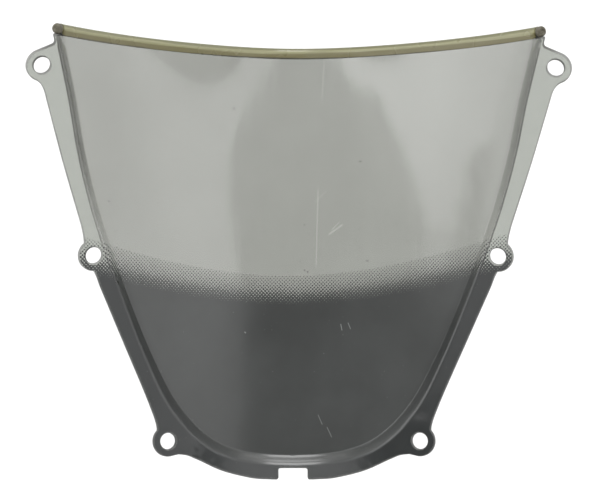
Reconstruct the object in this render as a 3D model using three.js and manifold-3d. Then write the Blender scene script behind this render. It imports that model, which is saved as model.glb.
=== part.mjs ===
// Moulded motorcycle windshield screen: smoked sheet with a raised bubble, a narrow side flange and six screw
// ears, a printed black band on its inner face and a push-on trim with end plugs along the top edge.
// Millimetres, +Z up along the screen, +X across it, and the hollow inner face towards -Y.
// The origin is the middle of the seat of the locating notch in the bottom edge.
import * as THREE from 'three';
import { mergeVertices } from 'three/addons/utils/BufferGeometryUtils.js';
import Module from 'manifold-3d';

const wasm = await Module();
wasm.setup();

// ---- driving dimensions -------------------------------------------------------------------------------
const SHEET_THICKNESS = 3.2;
const BUBBLE_KNEE = 50;        // half width of the soft crown of the bubble's section
const BUBBLE_DEPTH = 32;       // depth of the section's side slopes, at BUBBLE_LEVEL
const BUBBLE_LEVEL = 157;
const BUBBLE_GROWTH = 0.092;   // the section deepens towards the top edge
const BUBBLE_SWELL = 0.00025;
const STEP_HEIGHT = 5;         // how far the flange stands off the bubble at the fold
const STEP_WIDTH = 4.6;        // width of the fold between them
const FLANGE_SLOPE = 0.3;
const HOLE_RADIUS = 5.8;
const EAR_RADIUS = 10.7;
const PAD_RADIUS = 9.4;        // flat seat round each hole
const PAD_BLEND = 10;          // distance over which the flange eases into it
const EARS = {
  top: [169.4, 274.9],
  middle: [138, 150.1],
  bottom: [88.1, 21],
};
const NOTCH_HALF_WIDTH = 10.4;
const NOTCH_CORNER = 2;
const TOP_MIDDLE_Z = 293.4;    // top edge of the sheet at its middle
const TOP_RISE = 5.6;          // how much higher the two top corners are
const TOP_POWER = 3.4;         // the edge stays nearly level in the middle and climbs near the corners
const TIP_X = 161.4;
const BAND_Z = 133;            // top of the printed band at its middle
const BAND_RISE = 14.6;        // the band's edge climbs towards both sides
const BAND_KNEE = 60;
const BAND_THICKNESS = 0.4;
const BAND_GAP = 0.45;
const BAND_EAR_CLEARANCE = 4;  // the band stops short of the middle ears
const GAP = 0.3;               // between touching pieces
const TRIM_HEIGHT = 7.4;
const TRIM_DEPTH = 6.6;
const TRIM_GRIP = 4.2;         // how deep the sheet's edge sits in the trim's slot
const TRIM_SLACK = 0.5;        // room in the slot on each face of the sheet
const TRIM_SPAN = 158.7;       // half width of the bubble at the top edge
const TRIM_END_X = 157.6;
const PLUG_LENGTH = 5.2;
const PLUG_RADIUS = 3.5;
const PLUG_SEAT = 4.5;         // how far the sheet's corner is cut down under the plug

// The fold between bubble and flange, right half, from the middle of the bottom to above the top edge.
const FOLD_POINTS = [
  [0, 3], [19, 3.9], [38, 7], [56, 14], [70, 24.5], [82, 38.5], [91.4, 54], [100.6, 75], [108.6, 95.4],
  [121, 130], [129.8, 156.8], [138.4, 186.6], [146, 219.3], [152.6, 252.6], [158.8, 285.4], [164.5, 322],
];
// The flange's free edge between the ears, right side, from the top down.
const EDGE_TOP_TO_MIDDLE = [[167.9, 257], [162.3, 233], [156, 207.6], [146, 171]];
const EDGE_MIDDLE_TO_BOTTOM = [[134, 129.5], [130, 119.5], [118.9, 92], [104.2, 56.2], [97.4, 38.5]];
const EDGE_BOTTOM = [[80.9, 11.6], [74, 10.4], [66.3, 7], [49.5, -1], [29.4, -6.4], [16.5, -7.6], [12, -7.8]];

// ---- shape of the sheet's middle surface ---------------------------------------------------------------
function smooth(t) {
  const c = Math.min(1, Math.max(0, t));
  return c * c * (3 - 2 * c);
}

function crown(x, knee) {
  return Math.sqrt(1 + (x / knee) ** 2) - 1;
}

function bubbleDepth(x, z) {
  const rise = z - BUBBLE_LEVEL;
  return (BUBBLE_DEPTH + BUBBLE_GROWTH * rise + BUBBLE_SWELL * rise * rise) * crown(x, BUBBLE_KNEE);
}

// Whole fold curve, from the top on the left, round the bottom, to the top on the right.
const FOLD_STATIONS = 27;      // per side
const rightFold = new THREE.SplineCurve(FOLD_POINTS.map(([x, z]) => new THREE.Vector2(x, z)));
const halfFold = rightFold.getSpacedPoints(FOLD_STATIONS);
const fold = [
  ...halfFold.slice(1).reverse().map((p) => new THREE.Vector2(-p.x, p.y)),
  ...halfFold,
];

// Nearest point of the fold: signed distance, positive inside the bubble, and the point itself.
function nearestFold(x, z) {
  let best = { distance: Infinity, x: 0, z: 0, side: 1 };
  for (let i = 0; i + 1 < fold.length; i += 1) {
    const a = fold[i];
    const b = fold[i + 1];
    const dx = b.x - a.x;
    const dz = b.y - a.y;
    const t = Math.min(1, Math.max(0, ((x - a.x) * dx + (z - a.y) * dz) / (dx * dx + dz * dz)));
    const px = a.x + t * dx;
    const pz = a.y + t * dz;
    const distance = Math.hypot(x - px, z - pz);
    if (distance < best.distance) {
      best = { distance, x: px, z: pz, side: Math.sign(dx * (z - a.y) - dz * (x - a.x)) };
    }
  }
  return best;
}

function insideDistance(near) {
  return near.distance * near.side;
}

function flangeDepth(near) {
  return bubbleDepth(near.x, near.z) + STEP_HEIGHT - FLANGE_SLOPE * Math.min(insideDistance(near), 0);
}

function flangeDepthAt(x, z) {
  return flangeDepth(nearestFold(x, z));
}

// The plane that each ear lies in, on the right side: depth and slopes at its hole.
const earPlanes = Object.values(EARS).map(([x, z]) => {
  const e = 2;
  return {
    x,
    z,
    depth: flangeDepthAt(x, z),
    slopeX: (flangeDepthAt(x + e, z) - flangeDepthAt(x - e, z)) / (2 * e),
    slopeZ: (flangeDepthAt(x, z + e) - flangeDepthAt(x, z - e)) / (2 * e),
  };
});

// Depth of the middle surface towards the inner side.
function depth(x, z) {
  const near = nearestFold(x, z);
  let flange = flangeDepth(near);
  for (const ear of earPlanes) {
    const dx = Math.abs(x) - ear.x;
    const dz = z - ear.z;
    const share = 1 - smooth((Math.hypot(dx, dz) - PAD_RADIUS - 0.6) / PAD_BLEND);
    flange += share * (ear.depth + ear.slopeX * dx + ear.slopeZ * dz - flange);
  }
  const bubble = smooth(insideDistance(near) / STEP_WIDTH + 0.5);
  return bubble * bubbleDepth(x, z) + (1 - bubble) * flange;
}

const NOTCH_DEPTH = depth(0, 0);

function surfacePoint(x, z) {
  return new THREE.Vector3(x, NOTCH_DEPTH - depth(x, z), z);
}

// Unit normal of the middle surface, towards the outer side.
function surfaceNormal(x, z) {
  const e = 0.4;
  const slopeX = (depth(x + e, z) - depth(x - e, z)) / (2 * e);
  const slopeZ = (depth(x, z + e) - depth(x, z - e)) / (2 * e);
  return new THREE.Vector3(slopeX, 1, slopeZ).normalize();
}

function offsetPoint(x, z, offset) {
  return surfacePoint(x, z).addScaledVector(surfaceNormal(x, z), offset);
}

// ---- solids --------------------------------------------------------------------------------------------
function solidOf(geometry) {
  const bare = geometry.clone();
  bare.deleteAttribute('normal');
  bare.deleteAttribute('uv');
  const merged = mergeVertices(bare, 1e-4);
  return new wasm.Manifold(new wasm.Mesh({
    numProp: 3,
    vertProperties: new Float32Array(merged.attributes.position.array),
    triVerts: new Uint32Array(merged.index.array),
  }));
}

function geometryOf(solid) {
  const mesh = solid.getMesh();
  const geometry = new THREE.BufferGeometry();
  geometry.setAttribute('position', new THREE.BufferAttribute(new Float32Array(mesh.vertProperties), 3));
  geometry.setIndex(new THREE.BufferAttribute(new Uint32Array(mesh.triVerts), 1));
  return geometry;
}

function meshGeometry(points, triangles) {
  const geometry = new THREE.BufferGeometry();
  geometry.setAttribute('position', new THREE.Float32BufferAttribute(points.flatMap((p) => p.toArray()), 3));
  geometry.setIndex(triangles);
  return geometry;
}

// Columns across the bubble, as shares of its half width, closer together on the soft crown.
const CHORD_SHARES = Array.from({ length: 19 }, (_, i) => {
  const t = i / 9 - 1;
  return Math.sign(t) * Math.abs(t) ** 1.3;
});

// Flat layout of the sheet: rows of chords inside the fold and a strip of rows outside it, as [x, z] points
// and triangles that face +Y.
function sheetLayout() {
  const stripLevels = [0.5, 0.18, -0.18, -0.5].map((share) => share * STEP_WIDTH).concat([-26]);
  const points = [];
  const triangles = [];
  const strip = fold.map((p, i) => {
    const before = fold[Math.max(i - 1, 0)];
    const after = fold[Math.min(i + 1, fold.length - 1)];
    const along = after.clone().sub(before).normalize();
    return stripLevels.map((level) => points.push([p.x - along.y * level, p.y + along.x * level]) - 1);
  });
  const quad = (a, b, c, d) => triangles.push(a, c, b, a, d, c);
  for (let i = 0; i + 1 < strip.length; i += 1) {
    for (let k = 0; k + 1 < stripLevels.length; k += 1) {
      quad(strip[i][k], strip[i][k + 1], strip[i + 1][k + 1], strip[i + 1][k]);
    }
  }
  const chords = [];
  for (let j = 0; j < FOLD_STATIONS; j += 1) {
    const left = strip[j][0];
    const right = strip[strip.length - 1 - j][0];
    const row = [left];
    for (const share of CHORD_SHARES.slice(1, -1)) {
      row.push(points.push([share * points[right][0], points[left][1]]) - 1);
    }
    row.push(right);
    chords.push(row);
  }
  for (let j = 0; j + 1 < chords.length; j += 1) {
    for (let c = 0; c + 1 < CHORD_SHARES.length; c += 1) {
      quad(chords[j][c], chords[j + 1][c], chords[j + 1][c + 1], chords[j][c + 1]);
    }
  }
  const last = chords[chords.length - 1];
  const bottom = strip[FOLD_STATIONS][0];
  for (let c = 0; c + 1 < CHORD_SHARES.length; c += 1) {
    triangles.push(last[c], last[c + 1], bottom);
  }
  return { points, triangles };
}

// Closed slab between two offsets from the middle surface, larger than the sheet on every side.
function curvedSlab(inner, outer) {
  const { points, triangles } = sheetLayout();
  const count = points.length;
  const vertices = [
    ...points.map(([x, z]) => offsetPoint(x, z, inner)),
    ...points.map(([x, z]) => offsetPoint(x, z, outer)),
  ];
  const faces = [];
  const edges = new Map();
  for (let t = 0; t < triangles.length; t += 3) {
    const [a, b, c] = triangles.slice(t, t + 3);
    faces.push(a, c, b, a + count, b + count, c + count);
    [[a, b], [b, c], [c, a]].forEach(([p, q]) => edges.set(`${p},${q}`, [p, q]));
  }
  for (const [p, q] of edges.values()) {
    if (!edges.has(`${q},${p}`)) {
      faces.push(p, q, p + count, q, q + count, p + count);
    }
  }
  return solidOf(meshGeometry(vertices, faces));
}

// Point of the flat ear round a hole, at a radius and an angle in the ear's own plane, as [x, z].
function earPoint([x, z], radius, degrees) {
  const normal = surfaceNormal(x, z);
  const across = new THREE.Vector3(normal.y, -normal.x, 0).normalize();
  const up = across.clone().cross(normal);
  const angle = THREE.MathUtils.degToRad(degrees);
  const p = across.multiplyScalar(radius * Math.cos(angle)).addScaledVector(up, radius * Math.sin(angle));
  return [x + p.x, z + p.z];
}

function earArc(ear, fromDegrees, toDegrees) {
  const steps = 9;
  const points = [];
  for (let i = 0; i <= steps; i += 1) {
    points.push(earPoint(ear, EAR_RADIUS, fromDegrees + ((toDegrees - fromDegrees) * i) / steps));
  }
  return points;
}

function splineThrough(points, divisions) {
  const curve = new THREE.SplineCurve(points.map(([x, z]) => new THREE.Vector2(x, z)));
  return curve.getPoints(divisions).map((p) => [p.x, p.y]);
}

function fillet(from, corner, to) {
  const [a, b, c] = [from, corner, to].map(([x, z]) => new THREE.Vector2(x, z));
  return new THREE.QuadraticBezierCurve(a, b, c).getPoints(5).map((p) => [p.x, p.y]);
}

function topEdge(x) {
  return TOP_MIDDLE_Z + TOP_RISE * (Math.abs(x) / TIP_X) ** TOP_POWER;
}

// Right half of the sheet's outline, from the middle of the top edge to the middle of the notch.
function halfOutline() {
  const top = [];
  const steps = 16;
  const shoulder = TRIM_END_X - 0.6;
  for (let i = 0; i <= steps; i += 1) {
    const x = (shoulder * i) / steps;
    top.push([x, topEdge(x)]);
  }
  const tipZ = topEdge(TIP_X) - PLUG_SEAT;
  const topArc = earArc(EARS.top, 62, -74);
  const middleArc = earArc(EARS.middle, 48, -92);
  const bottomArc = earArc(EARS.bottom, 44, -98);
  const notchSide = NOTCH_HALF_WIDTH;
  return [
    ...top,
    [shoulder, topEdge(shoulder) - PLUG_SEAT],
    ...fillet([TIP_X - 1.5, tipZ], [TIP_X, tipZ], [TIP_X - 0.1, tipZ - 1.5]),
    ...fillet([160.9, 291.4], [160.7, 289], [162.6, 288.2]),
    ...topArc,
    ...fillet(topArc.at(-1), [169.4, 263.4], EDGE_TOP_TO_MIDDLE[0]).slice(1),
    ...splineThrough(EDGE_TOP_TO_MIDDLE, 8).slice(1),
    ...fillet(EDGE_TOP_TO_MIDDLE.at(-1), [143.6, 160.8], middleArc[0]).slice(1),
    ...middleArc.slice(1),
    ...fillet(middleArc.at(-1), [136.6, 138.2], EDGE_MIDDLE_TO_BOTTOM[0]).slice(1),
    ...splineThrough(EDGE_MIDDLE_TO_BOTTOM, 11).slice(1),
    ...fillet(EDGE_MIDDLE_TO_BOTTOM.at(-1), [94.8, 30.8], bottomArc[0]).slice(1),
    ...bottomArc.slice(1),
    ...splineThrough(EDGE_BOTTOM, 13),
    ...fillet([12, -7.8], [notchSide, -7.9], [notchSide, -6.3]).slice(1),
    ...fillet([notchSide, -NOTCH_CORNER], [notchSide, 0], [notchSide - NOTCH_CORNER, 0]),
  ];
}

function fullOutline() {
  const least = 0.2;
  const right = halfOutline().filter(([x, z], i, all) => {
    const before = all[i - 1];
    return !before || Math.hypot(x - before[0], z - before[1]) > least;
  });
  const left = right.slice(1).reverse().map(([x, z]) => [-x, z]);
  return [...right, ...left];
}

// Cutter whose side follows the sheet's normals near the sheet and runs along Y beyond it.
function outlineCutter(outline) {
  const reach = 2.8;
  const far = 260;
  const count = outline.length;
  const rings = [
    outline.map(([x, z]) => offsetPoint(x, z, -reach).setY(-far)),
    outline.map(([x, z]) => offsetPoint(x, z, -reach)),
    outline.map(([x, z]) => offsetPoint(x, z, reach)),
    outline.map(([x, z]) => offsetPoint(x, z, reach).setY(far)),
  ];
  const faces = [];
  for (let r = 0; r + 1 < rings.length; r += 1) {
    for (let i = 0; i < count; i += 1) {
      const j = (i + 1) % count;
      const [a, b] = [r * count + i, r * count + j];
      faces.push(a, b + count, a + count, a, b, b + count);
    }
  }
  const cap = (ring, base, flip) => {
    const flat = ring.map((p) => new THREE.Vector2(p.x, p.z));
    for (const [a, b, c] of THREE.ShapeUtils.triangulateShape(flat, [])) {
      faces.push(...(flip ? [base + a, base + c, base + b] : [base + a, base + b, base + c]));
    }
  };
  cap(rings[0], 0, false);
  cap(rings[3], 3 * count, true);
  return solidOf(meshGeometry(rings.flat(), faces));
}

// Cylinder across the sheet at an ear, from one offset to another along the ear's normal.
function earCylinder([x, z], radius, from, to, sides) {
  const normal = surfaceNormal(x, z);
  const geometry = new THREE.CylinderGeometry(radius, radius, to - from, sides);
  geometry.applyQuaternion(new THREE.Quaternion().setFromUnitVectors(new THREE.Vector3(0, 1, 0), normal));
  const middle = surfacePoint(x, z).addScaledVector(normal, (from + to) / 2);
  geometry.translate(middle.x, middle.y, middle.z);
  return solidOf(geometry);
}

function allEars() {
  return Object.values(EARS).flatMap(([x, z]) => [[x, z], [-x, z]]);
}

// Sheet or skin between two offsets, cut to the outline, with flat ears let into it and a hole in each.
function trimmedSlab(inner, outer, ears, holeRadius) {
  let slab = curvedSlab(inner, outer).intersect(outlineCutter(fullOutline()));
  for (const ear of ears) {
    slab = slab
      .subtract(earCylinder(ear, PAD_RADIUS - 0.2, -6, 6, 32))
      .add(earCylinder(ear, PAD_RADIUS, inner, outer, 32))
      .subtract(earCylinder(ear, holeRadius, -8, 8, 32));
  }
  return slab;
}

// The smoked sheet with its six ears.
function makeSheet() {
  const half = SHEET_THICKNESS / 2;
  return geometryOf(trimmedSlab(-half, half, allEars(), HOLE_RADIUS));
}

function bandTop(x) {
  return BAND_Z + BAND_RISE * crown(x, BAND_KNEE);
}

// The printed band: a thin skin over the lower part of the inner face.
function makeBand() {
  const inner = -SHEET_THICKNESS / 2 - BAND_GAP - BAND_THICKNESS;
  const lowEars = allEars().filter(([, z]) => z < EARS.middle[1]);
  const skin = trimmedSlab(inner, inner + BAND_THICKNESS, lowEars, HOLE_RADIUS + 0.6);
  const upper = [];
  const steps = 30;
  const reach = 190;
  for (let i = 0; i <= steps; i += 1) {
    const x = reach - (2 * reach * i) / steps;
    upper.push(new THREE.Vector2(x, bandTop(x)));
  }
  const below = new THREE.Shape([...upper, new THREE.Vector2(-reach, -40), new THREE.Vector2(reach, -40)]);
  const lower = new THREE.ExtrudeGeometry(below, { depth: 500, bevelEnabled: false });
  lower.rotateX(Math.PI / 2);
  lower.translate(0, 250, 0);
  let band = skin.intersect(solidOf(lower));
  for (const ear of allEars().filter(([, z]) => z === EARS.middle[1])) {
    band = band.subtract(earCylinder(ear, EAR_RADIUS + BAND_EAR_CLEARANCE, -8, 8, 36));
  }
  return geometryOf(band);
}

// Frame of the top edge at x: a point just above it, the sheet's normal and the way up in the sheet's plane.
function trimFrame(x) {
  const edgePoint = (at) => surfacePoint(at, topEdge(at));
  const along = edgePoint(x + 0.5).sub(edgePoint(x - 0.5)).normalize();
  const normal = surfaceNormal(x, topEdge(x));
  const up = along.clone().cross(normal).normalize();
  return { origin: edgePoint(x).addScaledVector(up, GAP), normal, up, along };
}

function sectionPoint(frame, across, up) {
  return frame.origin.clone().addScaledVector(frame.normal, across).addScaledVector(frame.up, up);
}

// Section of the trim, across the sheet and up from its edge: a rounded head over a slot for the sheet.
function trimSection() {
  const slot = SHEET_THICKNESS / 2 + TRIM_SLACK;
  const side = TRIM_DEPTH / 2;
  const shoulder = TRIM_HEIGHT - TRIM_GRIP - side * 0.8;
  const head = [];
  for (let i = 0; i <= 8; i += 1) {
    const angle = (Math.PI * i) / 8;
    head.push([side * Math.cos(angle), shoulder + side * 0.8 * Math.sin(angle)]);
  }
  return [...head, [-side, -TRIM_GRIP], [-slot, -TRIM_GRIP], [-slot, 0], [slot, 0], [slot, -TRIM_GRIP],
    [side, -TRIM_GRIP]];
}

// The push-on trim along the top edge, swept from one end plug to the other.
function makeTrim() {
  const section = trimSection();
  const stations = CHORD_SHARES.slice(1, -1).map((share) => share * TRIM_SPAN);
  const rings = [-TRIM_END_X, ...stations, TRIM_END_X].map((x) => {
    const frame = trimFrame(x);
    return section.map(([across, up]) => sectionPoint(frame, across, up));
  });
  const steps = rings.length - 1;
  const count = section.length;
  const faces = [];
  for (let r = 0; r < steps; r += 1) {
    for (let i = 0; i < count; i += 1) {
      const j = (i + 1) % count;
      const [a, b] = [r * count + i, r * count + j];
      faces.push(a, b, b + count, a, b + count, a + count);
    }
  }
  const flat = section.map(([x, y]) => new THREE.Vector2(x, y));
  const caps = THREE.ShapeUtils.triangulateShape(flat, []);
  for (const [a, b, c] of caps) {
    faces.push(a, c, b);
    faces.push(steps * count + a, steps * count + b, steps * count + c);
  }
  return geometryOf(solidOf(meshGeometry(rings.flat(), faces)));
}

// Round end plug that closes the trim beside the sheet's top corner.
function makePlug(side) {
  const frame = trimFrame(side * TRIM_END_X);
  const along = frame.along.multiplyScalar(side);
  const round = 2;
  const profile = [new THREE.Vector2(0, 0)];
  for (const [middle, from] of [[round, -90], [PLUG_LENGTH - round, 0]]) {
    for (let i = 0; i <= 4; i += 1) {
      const angle = THREE.MathUtils.degToRad(from + (90 * i) / 4);
      profile.push(new THREE.Vector2(PLUG_RADIUS - round + round * Math.cos(angle), middle + round * Math.sin(angle)));
    }
  }
  profile.push(new THREE.Vector2(0, PLUG_LENGTH));
  const geometry = new THREE.LatheGeometry(profile, 20);
  geometry.applyQuaternion(new THREE.Quaternion().setFromUnitVectors(new THREE.Vector3(0, 1, 0), along));
  const middle = TRIM_HEIGHT / 2 - TRIM_GRIP;
  const place = sectionPoint(frame, 0, middle).addScaledVector(along, GAP);
  geometry.translate(place.x, place.y, place.z);
  return geometryOf(solidOf(geometry));
}

// ---- the assembly --------------------------------------------------------------------------------------
function piece(name, geometry, color, roughness) {
  const mesh = new THREE.Mesh(geometry, new THREE.MeshStandardMaterial({ color, roughness, metalness: 0 }));
  mesh.name = name;
  return mesh;
}

const screen = new THREE.Group();
screen.add(piece('screen_panel', makeSheet(), 0xb3b5af, 0.12));
screen.add(piece('black_band', makeBand(), 0x3f4140, 0.42));
screen.add(piece('top_edge_trim', makeTrim(), 0x8a8762, 0.38));
screen.add(piece('trim_end_plug_left', makePlug(-1), 0x3c3a30, 0.5));
screen.add(piece('trim_end_plug_right', makePlug(1), 0x3c3a30, 0.5));

export default screen;
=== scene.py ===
"""Windshield screen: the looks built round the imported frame. Lengths in the shape section are millimetres."""
import math

import bmesh
import bpy
import numpy as np
from mathutils import Matrix, Vector, geometry


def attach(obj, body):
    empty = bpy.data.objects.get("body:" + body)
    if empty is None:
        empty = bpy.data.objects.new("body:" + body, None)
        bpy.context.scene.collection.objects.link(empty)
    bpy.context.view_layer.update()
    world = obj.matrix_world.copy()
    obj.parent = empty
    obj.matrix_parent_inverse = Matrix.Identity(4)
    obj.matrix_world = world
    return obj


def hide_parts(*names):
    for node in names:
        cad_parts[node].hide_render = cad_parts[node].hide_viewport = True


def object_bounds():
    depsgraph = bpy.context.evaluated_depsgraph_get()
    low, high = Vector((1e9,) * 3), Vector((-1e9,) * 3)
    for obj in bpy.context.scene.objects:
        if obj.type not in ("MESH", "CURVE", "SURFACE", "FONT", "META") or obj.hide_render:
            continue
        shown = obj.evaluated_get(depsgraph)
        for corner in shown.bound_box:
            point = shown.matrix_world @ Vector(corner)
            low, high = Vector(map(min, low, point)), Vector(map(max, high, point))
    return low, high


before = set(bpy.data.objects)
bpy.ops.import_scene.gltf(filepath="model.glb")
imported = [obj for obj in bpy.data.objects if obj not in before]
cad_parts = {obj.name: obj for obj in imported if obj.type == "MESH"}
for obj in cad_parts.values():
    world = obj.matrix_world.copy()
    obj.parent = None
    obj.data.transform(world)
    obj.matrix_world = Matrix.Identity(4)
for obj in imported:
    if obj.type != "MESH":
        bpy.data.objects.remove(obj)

CAD_BOX = [[float(v) for v in corner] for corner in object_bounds()]
ROOT = "root"
MM = 0.001

# ---- driving dimensions, as in the part unless a comment says otherwise -------------------------------
SHEET_THICKNESS = 3.2
BUBBLE_KNEE = 50.0         # half width of the soft crown of the bubble's section
BUBBLE_DEPTH = 32.0        # depth of the section's side slopes, at BUBBLE_LEVEL
BUBBLE_LEVEL = 157.0
BUBBLE_GROWTH = 0.092      # the section deepens towards the top edge
BUBBLE_SWELL = 0.00025
STEP_HEIGHT = 5.0          # how far the flange stands off the bubble at the fold
STEP_WIDTH = 4.6           # width of the fold between them
CREST_WIDTH = 8.2          # not in the part: the step is wider and softer across the bottom of the bubble
CREST_TOP_Z = 8.0          # full CREST_WIDTH up to here
CREST_BLEND = 110.0        # height over which the step narrows to STEP_WIDTH
FLANGE_SLOPE = 0.3
HOLE_RADIUS = 5.8
EAR_RADIUS = 10.7
PAD_RADIUS = 9.4           # flat seat round each hole
PAD_SPARE = 0.6            # the flat seat goes on this far past the pad
PAD_BLEND = 10.0           # distance over which the flange eases into it
EARS = {"top": (169.4, 274.9), "middle": (138.0, 150.1), "bottom": (88.1, 21.0)}
NOTCH_HALF_WIDTH = 10.4
NOTCH_CORNER = 2.0
TOP_MIDDLE_Z = 293.4       # top edge of the sheet at its middle
TOP_RISE = 5.6             # how much higher the two top corners are
TOP_POWER = 3.4            # the edge stays nearly level in the middle and climbs near the corners
TIP_X = 161.4
GAP = 0.3                  # between touching pieces
TRIM_HEIGHT = 7.4
TRIM_DEPTH = 6.6
TRIM_GRIP = 4.2            # how deep the sheet's edge sits in the trim's slot
TRIM_SLACK = 0.5           # room in the slot on each face of the sheet
TRIM_END_X = 157.6
PLUG_LENGTH = 5.2
PLUG_RADIUS = 3.5
PLUG_SEAT = 4.06           # 4.5 in the part: here the sheet's corner comes closer to the plug
# The fold, right half, from the middle of the bottom to above the top edge. The last four points lie up to
# 2.2 mm further in than the part's.
FOLD_POINTS = [
    (0, 3), (19, 3.9), (38, 7), (56, 14), (70, 24.5), (82, 38.5), (91.4, 54), (100.6, 75), (108.6, 95.4),
    (121, 130), (129.8, 156.8), (138.4, 186.6), (145.6, 219.3), (150.7, 252.6), (156.6, 285.4), (163.2, 322),
]
# The flange's free edge between the ears, right side, from the top down.
EDGE_TOP_TO_MIDDLE = [(167.9, 257), (162.3, 233), (156, 207.6), (146, 171)]
EDGE_MIDDLE_TO_BOTTOM = [(134, 129.5), (130, 119.5), (118.9, 92), (104.2, 56.2), (97.4, 38.5)]
EDGE_BOTTOM = [(80.9, 11.6), (74, 10.4), (66.3, 7), (49.5, -1), (29.4, -6.4), (16.5, -7.6), (12, -7.8)]

# ---- print on the inner face --------------------------------------------------------------------------
BAND_RISE = 63.0           # the print's edge climbs towards both sides
BAND_KNEE = 150.0
BAND_LEAN = 0.012          # and a little more to the right
BAND_SOLID_Z = 115.2       # top of the solid black at the middle
FADE_HEIGHT = 20.5         # height of the dot fade at the middle
FADE_SPREAD = 0.0002       # the fade grows taller towards the sides
DOT_PITCH = 2.55           # between dots of one row
DOT_SMALLEST = 0.42        # radius of the topmost dots
DOT_GROWTH = 0.48          # growth of the radius down the fade
DOT_SWELL = 0.2            # extra growth close to the solid black
FADE_ROWS = 56             # cells of the grid that the dots are traced through, bottom to top
FADE_CELL = 0.38           # and their width along the section
BAND_CELL = 0.9            # spacing of points along the top of the solid black
FILM_THICKNESS = 0.05
FILM_GAP = 0.03
INK_MARGIN = 0.5           # bare rim left along the cut edge
INK_HOLE_MARGIN = 0.6      # bare rim left round each hole

# ---- fineness of the meshes ---------------------------------------------------------------------------
EDGE_ROUND = 0.45          # radius of the small rounds along the cut edge
SKIN_OUTSIDE = 0.07        # heights of the frosted skin's two sides over the cut edge
SKIN_INSIDE = 0.02
HOLE_SIDES = 48
PLUG_SIDES = 48
TRIM_STATIONS = 181        # sections along the trim
OUTLINE_SPACING = 2.0
SHORTEST_EDGE = 0.25
GRID = 3.0                 # spacing of the even surface points
GRID_ROW = 0.87            # height of a row of them, in spacings
GRID_X = 190.0
GRID_Z = (-20.0, 310.0)
FOLD_ROWS = 20             # rows of closer points along the fold
FOLD_OUT = -0.65           # the outermost and innermost of those rows, in step widths
FOLD_IN = 1.45
FOLD_CLEARANCE = 0.9
EDGE_CLEARANCE = 1.1       # no even or fold point of the sheet lies closer than this to its edge
BAND_CLEARANCE = 0.7       # the same for the solid black
LINE_CLEARANCE = 0.2       # the top of the solid black stops this far short of the ink's edge
SECTION_X = 175.0          # half the width over which the print's section is measured


# ---- shape of the middle surface ----------------------------------------------------------------------
def catmull_rom(points, per_span):
    """Points of a uniform Catmull-Rom curve through the given ones."""
    p = np.array(points, float)
    out = []
    for i in range(len(p) - 1):
        a = p[max(i - 1, 0)]
        b, c = p[i], p[i + 1]
        d = p[min(i + 2, len(p) - 1)]
        for k in range(per_span):
            t = k / per_span
            v0, v1 = (c - a) / 2, (d - b) / 2
            out.append((2 * b - 2 * c + v0 + v1) * t**3 + (3 * c - 3 * b - 2 * v0 - v1) * t**2 + v0 * t + b)
    out.append(p[-1])
    return np.array(out)


def smooth(t):
    t = np.clip(t, 0, 1)
    return t * t * (3 - 2 * t)


def crown(x, knee):
    return np.sqrt(1 + (x / knee) ** 2) - 1


def bubble_depth(x, z):
    rise = z - BUBBLE_LEVEL
    return (BUBBLE_DEPTH + BUBBLE_GROWTH * rise + BUBBLE_SWELL * rise * rise) * crown(x, BUBBLE_KNEE)


FOLD = catmull_rom(FOLD_POINTS, 20)
FOLD_STRIDE = 10


def nearest_fold(x, z):
    """Signed distance to the fold, positive inside the bubble, and the nearest point's x and z."""
    x = np.abs(np.asarray(x, float))
    z = np.asarray(z, float)
    coarse = FOLD[::FOLD_STRIDE]
    spread = np.arange(-FOLD_STRIDE - 2, FOLD_STRIDE + 2)
    inside, near_x, near_z = (np.empty(x.size) for _ in range(3))
    flat_x, flat_z = x.ravel(), z.ravel()
    for start in range(0, flat_x.size, 8000):
        part = slice(start, start + 8000)
        px, pz = flat_x[part, None], flat_z[part, None]
        rough = ((px - coarse[:, 0]) ** 2 + (pz - coarse[:, 1]) ** 2).argmin(1)
        pick = np.clip(rough[:, None] * FOLD_STRIDE + spread, 0, len(FOLD) - 2)
        a, b = FOLD[pick], FOLD[pick + 1]
        d = b - a
        rx, rz = px - a[..., 0], pz - a[..., 1]
        t = np.clip((rx * d[..., 0] + rz * d[..., 1]) / (d**2).sum(2), 0, 1)
        gap2 = (rx - t * d[..., 0]) ** 2 + (rz - t * d[..., 1]) ** 2
        at = np.arange(len(rough)), gap2.argmin(1)
        side = np.sign(d[at][:, 0] * rz[at] - d[at][:, 1] * rx[at])
        inside[part] = np.sqrt(gap2[at]) * side
        near_x[part] = a[at][:, 0] + t[at] * d[at][:, 0]
        near_z[part] = a[at][:, 1] + t[at] * d[at][:, 1]
    return inside.reshape(x.shape), near_x.reshape(x.shape), near_z.reshape(x.shape)


def flange_depth(inside, near_x, near_z):
    return bubble_depth(near_x, near_z) + STEP_HEIGHT - FLANGE_SLOPE * np.minimum(inside, 0)


def flange_depth_at(x, z):
    return float(flange_depth(*nearest_fold(np.array([x]), np.array([z])))[0])


def ear_plane(x, z):
    """Plane of an ear's flat seat: its middle, depth and two slopes."""
    reach = 2.0
    slope_x = (flange_depth_at(x + reach, z) - flange_depth_at(x - reach, z)) / (2 * reach)
    slope_z = (flange_depth_at(x, z + reach) - flange_depth_at(x, z - reach)) / (2 * reach)
    return x, z, flange_depth_at(x, z), slope_x, slope_z


EAR_PLANES = [ear_plane(x, z) for x, z in EARS.values()]


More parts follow.
